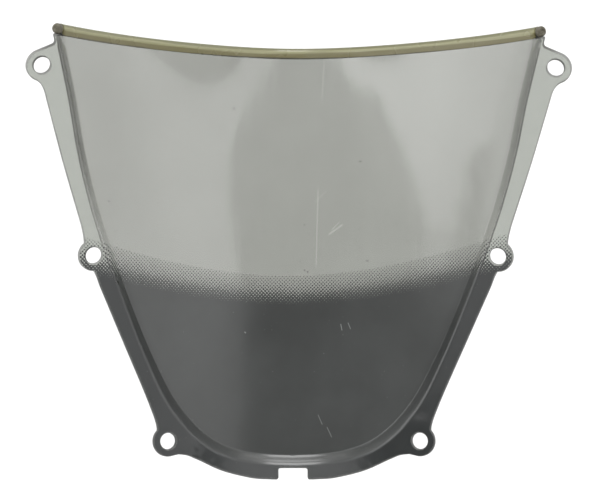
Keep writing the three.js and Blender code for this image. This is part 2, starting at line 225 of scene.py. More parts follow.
def depth(x, z):
    """Depth of the middle surface towards the inner side."""
    inside, near_x, near_z = nearest_fold(x, z)
    flange = flange_depth(inside, near_x, near_z)
    for ear_x, ear_z, level, slope_x, slope_z in EAR_PLANES:
        dx = np.abs(x) - ear_x
        dz = z - ear_z
        share = 1 - smooth((np.hypot(dx, dz) - PAD_RADIUS - PAD_SPARE) / PAD_BLEND)
        flange = flange + share * (level + slope_x * dx + slope_z * dz - flange)
    narrowing = smooth((near_z - CREST_TOP_Z) / CREST_BLEND)
    width = STEP_WIDTH + (CREST_WIDTH - STEP_WIDTH) * (1 - narrowing)
    bubble = smooth((inside + STEP_WIDTH / 2) / width)
    return bubble * bubble_depth(x, z) + (1 - bubble) * flange


NOTCH_DEPTH = float(depth(np.array([0.0]), np.array([0.0]))[0])


def surface(points):
    """Points on the middle surface and unit normals towards the outer side, for [x, z] points."""
    p = np.asarray(points, float).reshape(-1, 2)
    x, z = p[:, 0], p[:, 1]
    reach = 0.3
    slope_x = (depth(x + reach, z) - depth(x - reach, z)) / (2 * reach)
    slope_z = (depth(x, z + reach) - depth(x, z - reach)) / (2 * reach)
    normal = np.stack([slope_x, np.ones_like(x), slope_z], 1)
    normal /= np.linalg.norm(normal, axis=1, keepdims=True)
    return np.stack([x, NOTCH_DEPTH - depth(x, z), z], 1), normal


# ---- outline ------------------------------------------------------------------------------------------
def ear_ring(ear, radius, degrees, side=1):
    """[x, z] points on a circle round a hole, in the ear's own plane."""
    _, (normal,) = surface([ear])
    across = np.array([normal[1], -normal[0], 0.0])
    across /= np.linalg.norm(across)
    up = np.cross(across, normal)
    angle = np.radians(np.asarray(degrees, float))[:, None]
    p = radius * (np.cos(angle) * across + np.sin(angle) * up)
    return np.stack([side * (ear[0] + p[:, 0]), ear[1] + p[:, 2]], 1)


def ear_arc(name, start, end):
    return ear_ring(EARS[name], EAR_RADIUS, np.linspace(start, end, 30))


def fillet(start, corner, end):
    t = np.linspace(0, 1, 9)[:, None]
    a, b, c = (np.array(v, float) for v in (start, corner, end))
    return (1 - t) ** 2 * a + 2 * t * (1 - t) * b + t**2 * c


def top_edge(x):
    return TOP_MIDDLE_Z + TOP_RISE * (np.abs(x) / TIP_X) ** TOP_POWER


def half_outline():
    """Right half of the sheet's outline, from the middle of the top edge to the middle of the notch."""
    shoulder = TRIM_END_X - 0.6
    xs = np.linspace(0, shoulder, 80)
    tip_z = top_edge(TIP_X) - PLUG_SEAT
    top_arc = ear_arc("top", 62, -74)
    middle_arc = ear_arc("middle", 48, -92)
    bottom_arc = ear_arc("bottom", 44, -98)
    side = NOTCH_HALF_WIDTH
    return np.concatenate([
        np.stack([xs, top_edge(xs)], 1),
        [(shoulder, top_edge(shoulder) - PLUG_SEAT)],
        fillet((TIP_X - 1.5, tip_z), (TIP_X, tip_z), (TIP_X - 0.1, tip_z - 1.5)),
        fillet((160.9, 291.4), (160.7, 289), (162.6, 288.2)),
        top_arc,
        fillet(top_arc[-1], (169.4, 263.4), EDGE_TOP_TO_MIDDLE[0]),
        catmull_rom(EDGE_TOP_TO_MIDDLE, 12),
        fillet(EDGE_TOP_TO_MIDDLE[-1], (143.6, 160.8), middle_arc[0]),
        middle_arc,
        fillet(middle_arc[-1], (136.6, 138.2), EDGE_MIDDLE_TO_BOTTOM[0]),
        catmull_rom(EDGE_MIDDLE_TO_BOTTOM, 10),
        fillet(EDGE_MIDDLE_TO_BOTTOM[-1], (94.8, 30.8), bottom_arc[0]),
        bottom_arc,
        catmull_rom(EDGE_BOTTOM, 8),
        fillet((12, -7.8), (side, -7.9), (side, -6.3)),
        fillet((side, -NOTCH_CORNER), (side, 0), (side - NOTCH_CORNER, 0)),
    ])


def even_loop(points):
    """A closed loop with no short edges, and long ones divided."""
    kept = [points[0]]
    for p in points[1:]:
        if np.hypot(*(p - kept[-1])) > SHORTEST_EDGE:
            kept.append(p)
    out = []
    for i, p in enumerate(kept):
        q = kept[(i + 1) % len(kept)]
        parts = max(1, int(math.ceil(np.hypot(*(q - p)) / OUTLINE_SPACING)))
        out += [p + (q - p) * k / parts for k in range(parts)]
    return np.array(out)


def full_outline():
    right = half_outline()
    left = right[1:][::-1] * (-1, 1)
    return even_loop(np.concatenate([right, left]))


def loop_outward(loop):
    """Unit vectors to the left of a loop: out of the outline, which runs clockwise, and into each hole."""
    along = np.roll(loop, -1, 0) - np.roll(loop, 1, 0)
    along /= np.linalg.norm(along, axis=1, keepdims=True)
    return np.stack([-along[:, 1], along[:, 0]], 1)


def inset(loop, by):
    return loop - loop_outward(loop) * by


def holes(radius, names=tuple(EARS)):
    """Loops round the holes, running anticlockwise, so that their outward side is the hole."""
    turn = np.linspace(0, 360, HOLE_SIDES + 1)[:-1]
    loops = []
    for name in names:
        for side in (1, -1):
            loops.append(ear_ring(EARS[name], radius, turn if side == 1 else turn[::-1], side))
    return loops


def signed_distance(points, loops):
    """Distance to the nearest loop, negative where a point is outside the outline or in a hole."""
    p = np.asarray(points, float)
    gap2 = np.full(len(p), np.inf)
    crossings = np.zeros(len(p), int)
    for loop in loops:
        a, b = loop, np.roll(loop, -1, 0)
        d = b - a
        length2 = (d**2).sum(1)
        for start in range(0, len(p), 4000):
            part = slice(start, start + 4000)
            r = p[part, None] - a
            t = np.clip((r * d).sum(2) / length2, 0, 1)
            gap2[part] = np.minimum(gap2[part], ((r - t[..., None] * d) ** 2).sum(2).min(1))
            z = p[part, 1:2]
            spans = (a[:, 1] > z) != (b[:, 1] > z)
            with np.errstate(divide="ignore", invalid="ignore"):
                cut = a[:, 0] + (z - a[:, 1]) * d[:, 0] / d[:, 1]
            crossings[part] += (spans & (p[part, 0:1] < cut)).sum(1)
    return np.sqrt(gap2) * np.where(crossings % 2 == 1, 1, -1)


OUTLINE = full_outline()


# ---- flat layouts -------------------------------------------------------------------------------------
def surface_points():
    """[x, z] points that follow the fold closely and fill the rest evenly."""
    fine = catmull_rom(FOLD_POINTS, 12)
    along = np.gradient(fine, axis=0)
    along /= np.linalg.norm(along, axis=1, keepdims=True)
    inward = np.stack([-along[:, 1], along[:, 0]], 1)
    rows = []
    for level in np.linspace(FOLD_OUT, FOLD_IN, FOLD_ROWS) * STEP_WIDTH:
        row = fine + inward * level
        rows.append(row[row[:, 0] > 0.8])
    ramp = np.concatenate(rows)
    ramps = np.concatenate([ramp, ramp * (-1, 1)])
    xs = np.arange(-GRID_X, GRID_X + GRID, GRID)
    zs = np.arange(*GRID_Z, GRID * GRID_ROW)
    even = np.array([(x + (GRID / 2 if k % 2 else 0), z) for k, z in enumerate(zs) for x in xs])
    inside, _, _ = nearest_fold(even[:, 0], even[:, 1])
    outside_rows = inside < FOLD_OUT * STEP_WIDTH - FOLD_CLEARANCE
    inside_rows = inside > FOLD_IN * STEP_WIDTH + FOLD_CLEARANCE
    return np.concatenate([ramps, even[outside_rows | inside_rows]])


def triangulate(points, loops):
    """Triangles over the area inside the first loop and outside the others, which are part of points."""
    edges = []
    verts = [Vector(p) for loop in loops for p in loop]
    base = 0
    for loop in loops:
        n = len(loop)
        edges += [(base + i, base + (i + 1) % n) for i in range(n)]
        base += n
    verts += [Vector(p) for p in points]
    out, _, faces, origin, _, _ = geometry.delaunay_2d_cdt(verts, edges, [], 0, 1e-5)
    flat = np.array([(v.x, v.y) for v in out])
    tris = np.array([f for f in faces if len(f) == 3])
    middles = flat[tris].mean(1)
    tris = tris[signed_distance(middles, loops) > 0]
    used = np.unique(tris)
    number = np.full(len(flat), -1)
    number[used] = np.arange(len(used))
    source = [min(origin[i]) for i in used]
    flat, tris = flat[used], number[tris]
    a, b, c = (flat[tris[:, k]] for k in range(3))
    turn = (b[:, 0] - a[:, 0]) * (c[:, 1] - a[:, 1]) - (b[:, 1] - a[:, 1]) * (c[:, 0] - a[:, 0])
    tris[turn < 0] = tris[turn < 0][:, ::-1]
    return flat, tris, source


def mark(piece, name, values):
    """Store one number per vertex for the materials."""
    layer = piece.data.attributes.new(name, "FLOAT", "POINT")
    layer.data.foreach_set("value", np.asarray(values, np.float32))


def new_piece(name, vertices, faces, normals=None):
    mesh = bpy.data.meshes.new(name)
    mesh.from_pydata([tuple(v) for v in np.asarray(vertices) * MM], [], [tuple(map(int, f)) for f in faces])
    mesh.validate()
    mesh.polygons.foreach_set("use_smooth", [True] * len(mesh.polygons))
    if normals is not None:
        mesh.normals_split_custom_set_from_vertices([tuple(n) for n in normals])
    piece = bpy.data.objects.new(name, mesh)
    bpy.context.scene.collection.objects.link(piece)
    return piece


def boundary_edges(tris):
    """Directed edges of the triangles that no neighbour shares."""
    edges = {}
    for a, b, c in tris:
        for p, q in ((a, b), (b, c), (c, a)):
            edges[(p, q)] = True
    return [(p, q) for p, q in edges if (q, p) not in edges]


def ring_faces(low, high):
    """Quads between two closed rings of vertex numbers."""
    count = len(low)
    return [(low[i], low[(i + 1) % count], high[(i + 1) % count], high[i]) for i in range(count)]


# ---- pieces -------------------------------------------------------------------------------------------
def edge_ring(loop, side, degrees, lift=0.0):
    """One ring round a loop's cut edge and its normals.

    Side is -1 for the half next to the inner face; degrees turn from 0 on the face to 90 on the edge.
    """
    angle = math.radians(degrees)
    outward = loop_outward(loop)
    base, up = surface(loop - outward * EDGE_ROUND * (1 - math.sin(angle)))
    across = np.stack([outward[:, 0], np.zeros(len(loop)), outward[:, 1]], 1)
    across -= up * (across * up).sum(1, keepdims=True)
    across /= np.linalg.norm(across, axis=1, keepdims=True)
    normal = across * math.sin(angle) + up * side * math.cos(angle)
    level = side * (SHEET_THICKNESS / 2 - EDGE_ROUND * (1 - math.cos(angle)))
    return base + up * level + normal * lift, normal


def make_panel():
    """The sheet: two faces joined by a rounded cut edge, round the outline and through every hole."""
    loops = [OUTLINE] + holes(HOLE_RADIUS)
    face_loops = [inset(loop, EDGE_ROUND) for loop in loops]
    inner_points = surface_points()
    inner_points = inner_points[signed_distance(inner_points, face_loops) > EDGE_CLEARANCE]
    flat, tris, source = triangulate(inner_points, face_loops)
    middle, normal = surface(flat)
    count = len(flat)
    half = SHEET_THICKNESS / 2
    vertices = [middle - normal * half, middle + normal * half]
    normals = [-normal, normal]
    rim = [np.zeros(2 * count)]
    faces = [tuple(t) for t in tris] + [tuple(t[::-1] + count) for t in tris]
    where = {s: i for i, s in enumerate(source)}
    total = 2 * count
    first = 0
    for loop in loops:
        n = len(loop)
        rings = [[where[first + i] for i in range(n)]]
        for side, degrees in ((-1, 45), (-1, 90), (1, 90), (1, 45)):
            place, outward = edge_ring(loop, side, degrees)
            vertices.append(place)
            normals.append(outward)
            rim.append(np.ones(n))
            rings.append(list(range(total, total + n)))
            total += n
        rings.append([where[first + i] + count for i in range(n)])
        for low, high in zip(rings, rings[1:]):
            faces += ring_faces(low, high)
        first += n
    place = np.concatenate(vertices)
    piece = new_piece("smoked_sheet", place, faces, np.concatenate(normals))
    mark(piece, "rim", np.concatenate(rim))
    mark(piece, "inside", nearest_fold(place[:, 0], place[:, 2])[0])
    return piece


def make_cut_edge():
    """Thin frosted skin round the sheet's cut edge and its small rounds, on the outline and in every hole."""
    outer = [(-1, 0), (-1, 45), (-1, 90), (1, 90), (1, 45), (1, 0)]
    layers = [(side, degrees, SKIN_OUTSIDE) for side, degrees in outer]
    layers += [(side, degrees, SKIN_INSIDE) for side, degrees in outer[::-1]]
    vertices, faces, normals = [], [], []
    total = 0
    for loop in [OUTLINE] + holes(HOLE_RADIUS):
        rings = []
        for side, degrees, lift in layers:
            place, normal = edge_ring(loop, side, degrees, lift)
            vertices.append(place)
            normals.append(normal if lift == SKIN_OUTSIDE else -normal)
            rings.append(list(range(total, total + len(loop))))
            total += len(loop)
        for low, high in zip(rings, rings[1:] + rings[:1]):
            faces += ring_faces(low, high)
    return new_piece("cut_edge", np.concatenate(vertices), faces, np.concatenate(normals))


def solid_line(x):
    return BAND_SOLID_Z + BAND_RISE * crown(x, BAND_KNEE) + BAND_LEAN * x


def fade_height(x):
    return FADE_HEIGHT + FADE_SPREAD * x * x


def film(name, flat, tris):
    """A closed thin layer on the inner face over a flat layout."""
    middle, normal = surface(flat)
    count = len(flat)
    low = -SHEET_THICKNESS / 2 - FILM_GAP
    vertices = [middle + normal * (low - FILM_THICKNESS), middle + normal * low]
    faces = [tuple(t) for t in tris] + [tuple(t[::-1] + count) for t in tris]
    for p, q in boundary_edges([tuple(t) for t in tris]):
        faces.append((q, p, p + count, q + count))
    place = np.concatenate(vertices)
    piece = new_piece(name, place, faces, np.concatenate([-normal, normal]))
    mark(piece, "inside", nearest_fold(place[:, 0], place[:, 2])[0])
    return piece


def ink_loops():
    return [inset(OUTLINE, INK_MARGIN)] + holes(HOLE_RADIUS + INK_HOLE_MARGIN)


def section_lengths():
    """x against the length along the sheet's section, at the height of the fade."""
    x = np.linspace(-SECTION_X, SECTION_X, 3501)
    z = solid_line(x) + fade_height(x) / 2
    level = depth(x, z)
    run = np.concatenate([[0], np.cumsum(np.hypot(np.diff(x), np.diff(level)))])
    return x, run - run[len(run) // 2]


def even_across(spacing):
    """Evenly spaced lengths along the section, and their x."""
    x_of, run_of = section_lengths()
    end_gap = 2
    runs = np.arange(run_of[0] + end_gap, run_of[-1] - end_gap, spacing)
    return runs, np.interp(runs, run_of, x_of)


def dot_field(run, z, share):
    """Distance outside the nearest dot, in mm: dots on a diagonal lattice that grow with share."""
    radius = DOT_SMALLEST + DOT_GROWTH * share + DOT_SWELL * share**2
    best = np.full(run.shape, np.inf)
    for shift in (0.0, 0.5):
        dx = (run / DOT_PITCH - shift + 0.5) % 1 - 0.5
        dz = (z / DOT_PITCH - shift + 0.5) % 1 - 0.5
        best = np.minimum(best, DOT_PITCH * np.hypot(dx, dz))
    return best - radius


def make_fade():
    """The dot fade: the outline of the dots traced through a fine grid, cell by cell."""
    runs, xs = even_across(FADE_CELL)
    shares = np.linspace(1, 0, FADE_ROWS + 1)[:, None]
    x = np.broadcast_to(xs, (FADE_ROWS + 1, len(xs)))
    z = solid_line(x) + fade_height(x) * (1 - shares)
    field = dot_field(np.broadcast_to(runs, x.shape), z, np.broadcast_to(shares, x.shape))
    flat_points = np.stack([x.ravel(), z.ravel()], 1)
    far_away = 50.0
    always_clear_x = 95
    edge = np.full(len(flat_points), far_away)
    near = np.abs(flat_points[:, 0]) > always_clear_x
    edge[near] = signed_distance(flat_points[near], ink_loops())
    edge = edge.reshape(x.shape)
    field = np.maximum(field, -edge)
    # The lowest row is all ink, so that the dots join the solid black.
    field[0] = np.where(edge[0] > 0, -np.maximum(np.abs(field[0]), 0.05), field[0])
    points, numbers, tris = [], {}, []

    def corner(r, c):
        key = (r, c)
        if key not in numbers:
            numbers[key] = len(points)
            points.append((x[r, c], z[r, c]))
        return numbers[key]

    def between(r0, c0, r1, c1):
        key = (r0, c0, r1, c1) if (r0, c0) < (r1, c1) else (r1, c1, r0, c0)
        if key not in numbers:
            a, b = field[key[0], key[1]], field[key[2], key[3]]
            t = min(0.98, max(0.02, a / (a - b)))
            numbers[key] = len(points)
            points.append((x[key[0], key[1]] * (1 - t) + x[key[2], key[3]] * t,
                           z[key[0], key[1]] * (1 - t) + z[key[2], key[3]] * t))
        return numbers[key]

    ink = field < 0
    cells = ink[:-1, :-1] | ink[1:, :-1] | ink[:-1, 1:] | ink[1:, 1:]
    for r, c in np.argwhere(cells):
        around = [(r, c), (r, c + 1), (r + 1, c + 1), (r + 1, c)]
        polygon = []
        for i, here in enumerate(around):
            after = around[(i + 1) % 4]
            if ink[here]:
                polygon.append(corner(*here))
            if ink[here] != ink[after]:
                polygon.append(between(*here, *after))
        tris += [(polygon[0], polygon[i], polygon[i + 1]) for i in range(1, len(polygon) - 1)]
    return film("printed_dot_fade", np.array(points), np.array(tris))


def make_band():
    """The solid black print below the fade."""
    _, xs = even_across(BAND_CELL)
    line = np.stack([xs, solid_line(xs)], 1)
    edge = inset(OUTLINE, INK_MARGIN)
    keep = line[signed_distance(line, [edge]) > LINE_CLEARANCE]
    below = edge[edge[:, 1] < solid_line(edge[:, 0])]
    # The edge's lower part opens where its two ends are far apart, and the top line closes it there.
    start = int(np.argmax(np.hypot(*(np.roll(below, -1, 0) - below).T)))
    below = np.roll(below, -start - 1, 0)
    loop = np.concatenate([keep, below])
    middle_holes = holes(HOLE_RADIUS + INK_HOLE_MARGIN, ("middle",))
    points = surface_points()
    loops = [loop] + holes(HOLE_RADIUS + INK_HOLE_MARGIN, ("bottom",))
    points = points[signed_distance(points, loops) > BAND_CLEARANCE]
    flat, tris, _ = triangulate(points, loops)
    centre = flat[tris].mean(1)
    tris = tris[np.all([signed_distance(centre, [h]) < 0 for h in middle_holes], 0)]
    return film("printed_black_band", flat, tris)


def trim_frame(x):
    """Place just above the sheet's top edge at x, with across, up and along vectors."""
    def edge_point(at):
        return surface([(at, top_edge(at))])[0][0]

    along = edge_point(x + 0.5) - edge_point(x - 0.5)
    along /= np.linalg.norm(along)
    normal = surface([(x, top_edge(x))])[1][0]
    up = np.cross(along, normal)
    up /= np.linalg.norm(up)
    return edge_point(x) + up * GAP, normal, up, along


def trim_section():
    """Closed section of the trim, across and up, with small rounds at every corner."""
    slot = SHEET_THICKNESS / 2 + TRIM_SLACK
    side = TRIM_DEPTH / 2
    head = TRIM_HEIGHT - TRIM_GRIP
    bevel = 1.9
    corners = [
        # across, up and the radius of the round
        (side, -TRIM_GRIP, 0.5), (side, head - bevel, 1.2), (side - bevel, head, 1.2),
        (-side + bevel, head, 1.2), (-side, head - bevel, 1.2), (-side, -TRIM_GRIP, 0.5),
        (-slot, -TRIM_GRIP, 0.3), (-slot, 0, 0.2), (slot, 0, 0.2), (slot, -TRIM_GRIP, 0.3),
    ]
    points = []
    for i, (x, y, radius) in enumerate(corners):
        p = np.array((x, y))
        before = np.array(corners[i - 1][:2]) - p
        after = np.array(corners[(i + 1) % len(corners)][:2]) - p
        before *= min(radius, 0.45 * np.linalg.norm(before)) / np.linalg.norm(before)
        after *= min(radius, 0.45 * np.linalg.norm(after)) / np.linalg.norm(after)
        for t in np.linspace(0, 1, 5):
            points.append((1 - t) ** 2 * (p + before) + 2 * t * (1 - t) * p + t * t * (p + after))
    return np.array(points)


def make_trim():
    section = trim_section()
    n = len(section)
    xs = np.linspace(-TRIM_END_X, TRIM_END_X, TRIM_STATIONS)
    vertices, rises = [], []
    for x in xs:
        origin, across, up, _ = trim_frame(x)
        vertices += [origin + across * a + up * b for a, b in section]
        rises += [b for _, b in section]
    faces = []
    for r in range(len(xs) - 1):
        for i in range(n):
            j = (i + 1) % n
            a, b = r * n + i, r * n + j
            faces.append((a, a + n, b + n, b))
    faces.append(tuple(range(n)))
    faces.append(tuple((len(xs) - 1) * n + i for i in reversed(range(n))))
    piece = new_piece("edge_moulding", vertices, faces)
    bm = bmesh.new()
    bm.from_mesh(piece.data)
    bmesh.ops.recalc_face_normals(bm, faces=bm.faces)
    for edge in bm.edges:
        edge.smooth = edge.calc_face_angle(0) < math.radians(40)
    bm.to_mesh(piece.data)
    bm.free()
    mark(piece, "rise", rises)
    return piece


def make_plug(side):
    """Round end plug: a lathed button with a shallow dimple on its outer end."""
    origin, across, up, along = trim_frame(side * TRIM_END_X)
    axis = along * side
    round_off = 2.0
    profile = [(0.0, 0.0)]
    flat_radius = PLUG_RADIUS - round_off
    for centre, start in ((round_off, -90), (PLUG_LENGTH - round_off, 0)):
        for t in np.radians(np.linspace(start, start + 90, 10)):
            profile.append((flat_radius + round_off * math.cos(t), centre + round_off * math.sin(t)))
    profile += [(1.5, PLUG_LENGTH - 0.05), (1.2, PLUG_LENGTH - 0.45), (0.0, PLUG_LENGTH - 0.55)]
    base = origin + up * (TRIM_HEIGHT / 2 - TRIM_GRIP) + axis * GAP
    vertices, faces = [], []
    for radius, height in profile:
        for k in range(PLUG_SIDES):
            angle = 2 * math.pi * k / PLUG_SIDES
            spoke = math.cos(angle) * across + math.sin(angle) * up
            vertices.append(base + axis * height + radius * spoke)
    rings = [range(r * PLUG_SIDES, (r + 1) * PLUG_SIDES) for r in range(len(profile))]
    for low, high in zip(rings, rings[1:]):
        faces += ring_faces(low, high)
    piece = new_piece("end_plug_" + ("right" if side > 0 else "left"), vertices, faces)
    bm = bmesh.new()
    bm.from_mesh(piece.data)
    bmesh.ops.remove_doubles(bm, verts=bm.verts, dist=1e-6)
    bmesh.ops.recalc_face_normals(bm, faces=bm.faces)
    bm.to_mesh(piece.data)
    bm.free()
    return piece


# ---- materials ----------------------------------------------------------------------------------------
class Nodes:
    """Small helper that adds linked nodes to one material."""

    def __init__(self, name):
        self.material = bpy.data.materials.new(name)
        self.material.use_nodes = True
        self.tree = self.material.node_tree
        self.shader = self.tree.nodes["Principled BSDF"]
        self.place = self.add("ShaderNodeTexCoord").outputs["Object"]

    def add(self, kind, **settings):
        node = self.tree.nodes.new(kind)
        for key, value in settings.items():
            setattr(node, key, value)
        return node

    def link(self, out, socket):
        self.tree.links.new(out, socket)

    def stretched(self, scale):
        node = self.add("ShaderNodeMapping")
        node.inputs["Scale"].default_value = scale
        self.link(self.place, node.inputs["Vector"])
        return node.outputs[0]

    def noise(self, scale, detail=2.0, rough=0.5, vector=None):
        node = self.add("ShaderNodeTexNoise")
        node.inputs["Scale"].default_value = scale
        node.inputs["Detail"].default_value = detail
        node.inputs["Roughness"].default_value = rough
        self.link(vector or self.place, node.inputs["Vector"])
        return node.outputs["Fac"]

    def remap(self, value, low, high, to_low=0.0, to_high=1.0):
        node = self.add("ShaderNodeMapRange")
        node.interpolation_type = "SMOOTHSTEP"
        for key, number in (("From Min", low), ("From Max", high), ("To Min", to_low), ("To Max", to_high)):
            node.inputs[key].default_value = number
        self.link(value, node.inputs["Value"])
        return node.outputs[0]

    def maths(self, operation, a, b=None):
        node = self.add("ShaderNodeMath", operation=operation)
        for socket, value in zip(node.inputs, (a, b)):
            if value is None:
                continue
            if isinstance(value, (int, float)):
                socket.default_value = value
            else:
                self.link(value, socket)
        return node.outputs[0]

    def mix(self, share, first, second):
        node = self.add("ShaderNodeMix", data_type="RGBA")
        for index, value in ((0, share), (6, first), (7, second)):
            socket = node.inputs[index]
            if isinstance(value, tuple):
                socket.default_value = (*value, 1.0)
            elif isinstance(value, (int, float)):
                socket.default_value = value
            else:
                self.link(value, socket)
        return node.outputs[2]

    def attribute(self, name):
        node = self.add("ShaderNodeAttribute", attribute_name=name)
        return node.outputs["Fac"]

    def axes(self):
        node = self.add("ShaderNodeSeparateXYZ")
        self.link(self.place, node.inputs[0])
        return node.outputs

    def bump(self, height, strength, distance):
        node = self.add("ShaderNodeBump")
        node.inputs["Strength"].default_value = strength
        node.inputs["Distance"].default_value = distance
        self.link(height, node.inputs["Height"])
        self.link(node.outputs[0], self.shader.inputs["Normal"])

    def scratch(self, start, end, width):
        """1 on a thin line between two [x, z] points in metres, 0 elsewhere."""
        x, _, z = self.axes()
        (x0, z0), (x1, z1) = start, end
        length = math.hypot(x1 - x0, z1 - z0)
        ux, uz = (x1 - x0) / length, (z1 - z0) / length
        dx, dz = self.maths("SUBTRACT", x, x0), self.maths("SUBTRACT", z, z0)
        along = self.maths("ADD", self.maths("MULTIPLY", dx, ux), self.maths("MULTIPLY", dz, uz))
        off = self.maths("ABSOLUTE", self.maths("SUBTRACT", self.maths("MULTIPLY", dx, uz),
                                                self.maths("MULTIPLY", dz, ux)))
        near = self.remap(off, width * 0.3, width, 1.0, 0.0)
        begun = self.remap(along, 0.0, length * 0.1)
        ended = self.remap(along, length * 0.9, length, 1.0, 0.0)
        return self.maths("MULTIPLY", near, self.maths("MULTIPLY", begun, ended))


SCRATCHES = (
    # start and end as (x, z) in millimetres, half width, strength
    ((21.9, 290.3), (19.8, 257.7), 0.5, 0.25),
    ((17.7, 200.9), (16.3, 139.1), 0.7, 0.26),
    ((24.8, 164.7), (35.4, 172.5), 0.9, 0.32),
    ((27.0, 168.0), (33.0, 174.5), 0.6, 0.3),
    ((14.0, 187.0), (24.5, 196.5), 0.3, 0.3),
    ((-92.0, 214.0), (-88.0, 222.0), 0.3, 0.3),
)
STAINS = (
    # middle as (x, z) in millimetres, radius, strength
    ((46.8, 216.5), 0.9, 0.6),
    ((8.1, 172.0), 0.8, 0.5),
    ((8.2, 139.6), 0.8, 0.7),
    ((10.4, 138.6), 0.8, 0.7),
    ((-42.7, 253.4), 1.6, 0.3),
    ((-128.0, 187.0), 0.9, 0.5),
    ((52.0, 146.5), 1.2, 0.3),
)
INK_MARKS = (
    ((33.5, 102.0), (34.5, 97.0), 0.35, 0.5),
    ((38.5, 103.0), (40.5, 98.0), 0.35, 0.4),
    ((17.7, 37.6), (21.0, 30.0), 0.3, 0.35),
    ((24.0, 29.0), (27.6, 21.2), 0.3, 0.35),
    ((-34.5, 96.2), (-33.5, 95.2), 0.5, 0.5),
)


def add_scratches(m, colour, scratches, light):
    for (x0, z0), (x1, z1), width, strength in scratches:
        line = m.scratch((x0 * MM, z0 * MM), (x1 * MM, z1 * MM), width * MM)
        colour = m.mix(m.maths("MULTIPLY", line, strength), colour, light)
    return colour


def smoked_plastic():
    m = Nodes("smoked_plastic")
    x, _, z = m.axes()
    tint = m.noise(9.0, 3.0, 0.55)
    haze = m.noise(1.0, 4.0, 0.6, m.stretched((220.0, 220.0, 14.0)))
    colour = m.mix(m.remap(tint, 0.3, 0.7), (0.306, 0.312, 0.288), (0.328, 0.335, 0.310))
    colour = m.mix(m.remap(haze, 0.55, 0.8, 0.0, 0.25), colour, (0.35, 0.355, 0.333))
    # Darker noise patches that grow towards the top edge: partly grime, partly painted shade under the edge
    # moulding.
    grime_and_top_shade = m.remap(m.noise(26.0, 5.0, 0.7), 0.52, 0.72, 0.0, 0.15)
    high = m.remap(z, 0.19, 0.29)
    colour = m.mix(m.maths("MULTIPLY", grime_and_top_shade, high), colour, (0.23, 0.23, 0.207))
    speck = m.remap(m.noise(330.0, 2.0, 0.6), 0.72, 0.76)
    colour = m.mix(m.maths("MULTIPLY", speck, 0.5), colour, (0.15, 0.15, 0.14))
    for (sx, sz), radius, strength in STAINS:
        dx = m.maths("SUBTRACT", x, sx * MM)
        dz = m.maths("SUBTRACT", z, sz * MM)
        square = m.maths("ADD", m.maths("MULTIPLY", dx, dx), m.maths("MULTIPLY", dz, dz))
        away = m.maths("SQRT", square)
        spot = m.remap(away, radius * 0.4 * MM, radius * MM, strength, 0.0)
        colour = m.mix(spot, colour, (0.10, 0.10, 0.09))
    colour = add_scratches(m, colour, SCRATCHES, (0.52, 0.52, 0.50))
    inside = m.attribute("inside")
    # Painted shade along the fold between flange and bubble, broader on the right and weaker low down.
    right = m.remap(x, -0.02, 0.02)
    narrow = m.remap(inside, 0.2, 1.4, 1.0, 0.0)
    broad = m.remap(inside, -1.4, 5.5, 1.0, 0.0)
    painted_fold_shade = m.maths("ADD", m.maths("MULTIPLY", m.maths("MULTIPLY", right, 0.7), broad),
                     m.maths("MULTIPLY", m.maths("SUBTRACT", 1.0, right), narrow))
    painted_fold_shade = m.maths("MULTIPLY", painted_fold_shade, m.remap(inside, -2.0, -1.5))
    painted_fold_shade = m.maths("MULTIPLY", painted_fold_shade, m.remap(m.noise(40.0, 2.0), 0.2, 0.8, 0.75, 0.9))
    painted_fold_shade = m.maths("MULTIPLY", painted_fold_shade, m.remap(z, 0.15, 0.23, 0.1, 1.0))
    colour = m.mix(painted_fold_shade, colour, (0.075, 0.076, 0.068))
    # Painted light: the sheet is made lighter on the flange beyond the fold.
    colour = m.mix(m.remap(inside, -1.6, -2.3), colour, (0.360, 0.376, 0.343))
    rim = m.attribute("rim")
    colour = m.mix(rim, colour, (0.62, 0.63, 0.60))
    m.link(colour, m.shader.inputs["Base Color"])
    rough = m.remap(haze, 0.35, 0.75, 0.08, 0.13)
    m.link(m.maths("ADD", rough, m.maths("MULTIPLY", rim, 0.45)), m.shader.inputs["Roughness"])
    m.shader.inputs["Transmission Weight"].default_value = 1.0
    m.shader.inputs["IOR"].default_value = 1.5
    m.bump(m.noise(60.0, 2.0), 0.06, 0.0004)
    return m.material


def frosted_edge():
    m = Nodes("frosted_edge")
    saw = m.noise(1.0, 3.0, 0.6, m.stretched((900.0, 900.0, 900.0)))
    cloud = m.noise(35.0, 3.0, 0.6)
    colour = m.mix(m.remap(cloud, 0.3, 0.7), (0.12, 0.123, 0.115), (0.18, 0.184, 0.172))
    colour = m.mix(m.remap(saw, 0.5, 0.75, 0.0, 0.4), colour, (0.25, 0.255, 0.24))
    _, _, z = m.axes()
    # Painted shade: the cut edge is made darker near the top, under the edge moulding and its plugs.
    colour = m.mix(m.remap(z, 0.281, 0.287, 0.0, 0.8), colour, (0.05, 0.05, 0.045))
    colour = m.mix(m.remap(z, 0.142, 0.132), colour, (0.03, 0.031, 0.03))
    m.link(colour, m.shader.inputs["Base Color"])
    m.link(m.remap(saw, 0.3, 0.7, 0.4, 0.6), m.shader.inputs["Roughness"])
    m.bump(saw, 0.2, 0.0002)
    return m.material


